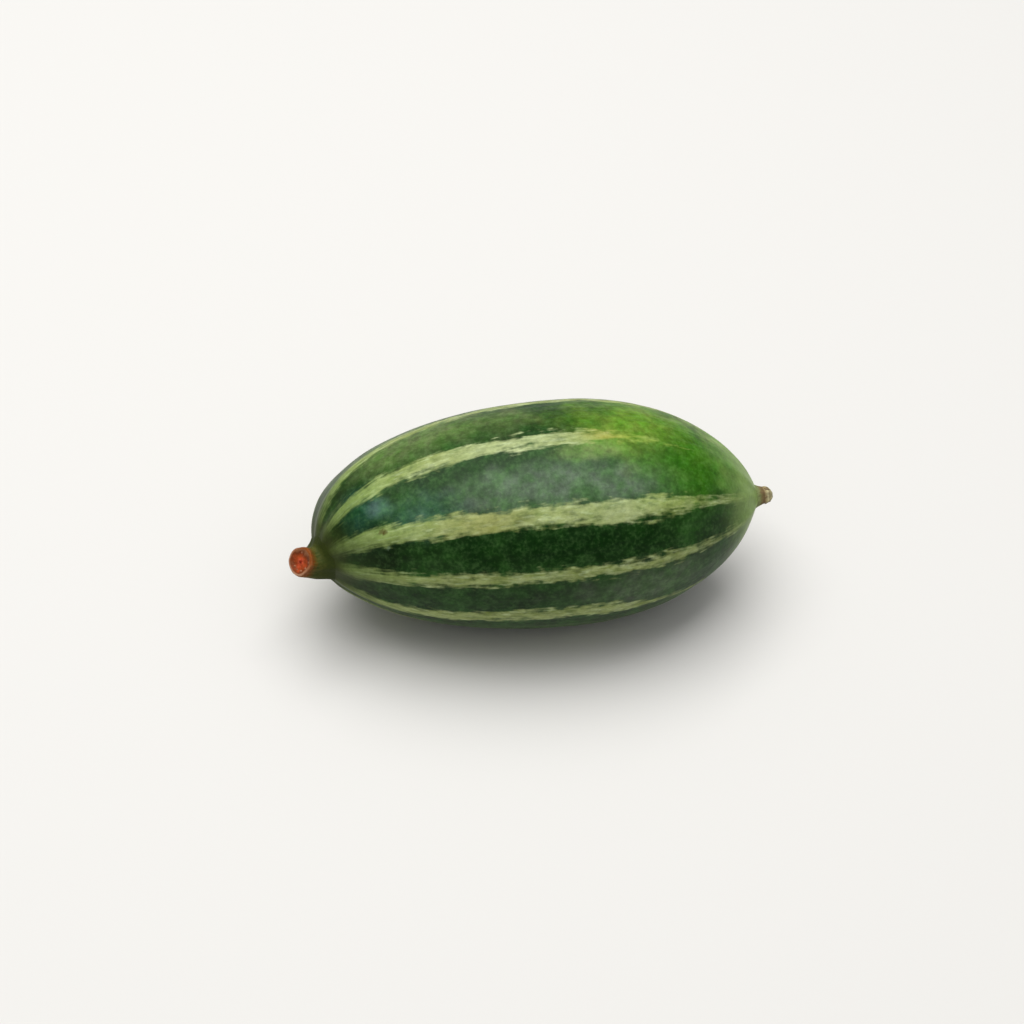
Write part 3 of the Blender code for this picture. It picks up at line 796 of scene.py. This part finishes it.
tip = stub("dried_flower_knob", TIP_OUTLINE, TIP_SIDES, tip_line, tip_folds)
for vertex, own in zip(tip.data.vertices, tip.data.attributes["own_mm"].data):
    lay_root(vertex, own.vector.x, clear_at=0.7, span=0.8)

# Dried flower: papery and dull. The eye sees a dark brown ring, then tan with brown creases.
papery, paint = new_material("gourd_flower_dried_papery")
own = add(paint, "ShaderNodeAttribute", attribute_name="own_mm").outputs["Vector"]
own_height = add(paint, "ShaderNodeSeparateXYZ", {0: own}).outputs["X"]
creases = add(paint, "ShaderNodeMapping", {"Vector": own, "Scale": (1 / 1.6, 1 / 0.25, 1 / 0.25)})
creases = add(paint, "ShaderNodeTexNoise", {"Vector": creases, "Scale": 1.0, "Detail": 3.0})
up_knob = add(paint, "ShaderNodeMath", {0: creases, 1: 0.6, 2: own_height}, operation="MULTIPLY_ADD")
up_knob = add(paint, "ShaderNodeMapRange", {"Value": up_knob, "From Min": -0.6, "From Max": 2.9})
knob_tone = add(paint, "ShaderNodeValToRGB", {"Fac": up_knob})
KNOB_RINGS = {
    0: "7E9A52",
    0.28: "7A8650",
    0.36: "75683C",
    0.47: "6A5230",
    0.57: "A09468",
    0.66: "B6AE84",
    0.74: "8E8258",
    0.84: "AAA27A",
    1: "A09A70",
}
shade(knob_tone, KNOB_RINGS)
dusky = add(paint, "ShaderNodeMapRange", {"Value": creases, "From Min": 0.5, "From Max": 0.75, "To Max": 0.6})
knob = add(paint, "ShaderNodeMix", {"Factor": dusky, "A": knob_tone, "B": linear("5B452E")}, data_type="RGBA")
knob_bump = add(paint, "ShaderNodeBump", {"Strength": 0.7, "Distance": 0.0002, "Height": creases})
finish = {"Base Color": knob, "Roughness": 0.8, "Normal": knob_bump}
feed(paint, paint.nodes["Principled BSDF"], finish)
tip.data.materials.append(papery)
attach(tip, "root")
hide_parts("dried_flower_tip")

# What is left of the petals: a ring of small flat shreds that lie along the knob
SHRED_SIZES = {"Shreds": 13, "Ring": 1.4 * MM, "Width": 0.3 * MM, "Long": 0.85 * MM, "Tuck": 0.16, "Seed": 3}
shred_kinds = {**kinds_of(SHRED_SIZES), **WHERE, "Papery": "Material"}
tree, given = new_tree("ring_of_petal_shreds", shred_kinds, GEOMETRY)
spots = add(tree, "GeometryNodeMeshCircle", {"Vertices": given["Shreds"], "Radius": given["Ring"]})
shred = {"Vertices": 8, "Side Segments": 4, "Radius Top": 0.0, "Radius Bottom": given["Width"]}
shred = add(tree, "GeometryNodeMeshCone", {**shred, "Depth": given["Long"]}).outputs["Mesh"]
shred = add(tree, "GeometryNodeTransform", {"Geometry": shred, "Scale": (0.35, 1.0, 1.0)})
outward = {"Vector": add(tree, "GeometryNodeInputPosition")}
outward = add(tree, "FunctionNodeAlignRotationToVector", outward, axis="X", pivot_axis="Z")
sizes = add(tree, "FunctionNodeRandomValue", {"Min": 0.55, "Max": 1.25, "Seed": given["Seed"]})
shreds = {"Points": spots, "Instance": shred, "Rotation": outward, "Scale": sizes}
shreds = add(tree, "GeometryNodeInstanceOnPoints", shreds)
least = add(tree, "ShaderNodeMath", {0: given["Tuck"], 1: -1.0}, operation="MULTIPLY")
most = add(tree, "ShaderNodeMath", {0: given["Tuck"], 1: -3.5}, operation="MULTIPLY")
leans = {"Min": most, "Max": least, "Seed": given["Seed"]}
leans = add(tree, "ShaderNodeCombineXYZ", {"Y": add(tree, "FunctionNodeRandomValue", leans)})
leans = add(tree, "FunctionNodeEulerToRotation", {0: leans})
shreds = add(tree, "GeometryNodeRotateInstances", {"Instances": shreds, "Rotation": leans})
shreds = add(tree, "GeometryNodeRealizeInstances", {"Geometry": shreds})
shreds = {"Geometry": shreds, "Translation": given["Place"], "Rotation": given["Turn"]}
shreds = add(tree, "GeometryNodeTransform", shreds)
shreds = add(tree, "GeometryNodeSetShadeSmooth", {"Geometry": shreds})
shreds = add(tree, "GeometryNodeSetMaterial", {"Geometry": shreds, "Material": given["Papery"]})
add(tree, "NodeGroupOutput", {"Geometry": shreds})

# Withered petal: thin and dull. The eye sees brown slivers, lighter at random, against the knob.
withered, paint = new_material("gourd_petal_withered_papery")
at_place = add(paint, "ShaderNodeTexCoord").outputs["Object"]
faded = add(paint, "ShaderNodeTexNoise", {"Vector": at_place, "Scale": 1 / (0.5 * MM), "Detail": 3.0})
faded = add(paint, "ShaderNodeMapRange", {"Value": faded, "From Min": 0.35, "From Max": 0.65})
faded = {"Factor": faded, "A": linear("4E3620"), "B": linear("A08A64")}
faded = add(paint, "ShaderNodeMix", faded, data_type="RGBA")
feed(paint, paint.nodes["Principled BSDF"], {"Base Color": faded, "Roughness": 0.85})
ring_at, ring_aim = tip_line(SHRED_HEIGHT)
ring_turn = ring_aim.to_track_quat("Z", "Y").to_euler()
shred_values = {**SHRED_SIZES, "Place": ring_at, "Turn": ring_turn, "Papery": withered}
petal_shreds = grown("flower_petal_shreds", tree, shred_values)
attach(petal_shreds, "root")


# The studio: a pale seamless floor and one wide soft light high above it, in a room that is bright
# overhead and dim at its sides, with a pale wall behind whatever is in view. The view is the photograph's.

FLOOR_RADIUS = 2.5
SIDE_GLOW, OVERHEAD_GLOW, WALL_GLOW = 0.06, 0.9, 0.82
SOFTBOX_PLACE, SOFTBOX_TARGET = Vector((-0.10, 0.15, 0.85)), Vector((0, 0, 0.02))
SOFTBOX_POWER = 7.6

floor_mesh = bmesh.new()
bmesh.ops.create_circle(floor_mesh, cap_ends=True, segments=128, radius=FLOOR_RADIUS)
floor_data = bpy.data.meshes.new("studio_floor")
floor_mesh.to_mesh(floor_data)
floor_mesh.free()
floor = placed("studio_floor", floor_data)
paper, paint = new_material("studio_paper_matte")
feed(paint, paint.nodes["Principled BSDF"], {"Base Color": linear("DEDCD8"), "Roughness": 0.9})
floor_data.materials.append(paper)

world = bpy.data.worlds.new("studio_room")
world.use_nodes = True
room = world.node_tree
upward = add(room, "ShaderNodeTexCoord").outputs["Generated"]
upward = add(room, "ShaderNodeSeparateXYZ", {0: upward}).outputs["Z"]
glow = {"Value": upward, "From Min": 0.3, "From Max": 1.0, "To Min": SIDE_GLOW, "To Max": OVERHEAD_GLOW}
glow = add(room, "ShaderNodeMapRange", glow, interpolation_type="SMOOTHSTEP")
in_view = add(room, "ShaderNodeLightPath").outputs["Is Camera Ray"]
brightness = add(room, "ShaderNodeMix", {"Factor": in_view, "A": glow, "B": WALL_GLOW})
feed(room, room.nodes["Background"], {"Color": linear("F8F9FA"), "Strength": brightness})
bpy.context.scene.world = world

softbox = bpy.data.lights.new("softbox", "AREA")
softbox.shape = "RECTANGLE"
softbox.size, softbox.size_y = 0.9, 0.7
softbox.energy = SOFTBOX_POWER
softbox_at = placed("softbox", softbox)
softbox_at.location = SOFTBOX_PLACE
softbox_at.rotation_euler = (SOFTBOX_TARGET - SOFTBOX_PLACE).to_track_quat("-Z", "Y").to_euler()

# The view's angles, its distance and the point that it looks at are matched to the photograph
VIEW_AROUND, VIEW_UP, VIEW_ROLL = radians(-15.7), radians(50), radians(7.338)
VIEW_TARGET, VIEW_DISTANCE = Vector((-0.007251, 0.001458, 0.018181)), 0.40515
back = Vector((sin(VIEW_AROUND) * cos(VIEW_UP), -cos(VIEW_AROUND) * cos(VIEW_UP), sin(VIEW_UP)))
level_right = Vector((cos(VIEW_AROUND), sin(VIEW_AROUND), 0))
level_up = back.cross(level_right)
view_right = level_right * cos(VIEW_ROLL) + level_up * sin(VIEW_ROLL)
view_up = back.cross(view_right)
camera = placed("camera", bpy.data.cameras.new("camera"))
camera.data.lens, camera.data.sensor_width = 85, 36
camera.data.clip_start, camera.data.clip_end = 0.02, 20
camera.matrix_world = Matrix.Translation(VIEW_TARGET + back * VIEW_DISTANCE) @ (
    Matrix((view_right, view_up, back)).transposed().to_4x4()
)
bpy.context.scene.camera = camera
bpy.context.scene.view_settings.view_transform = "Standard"
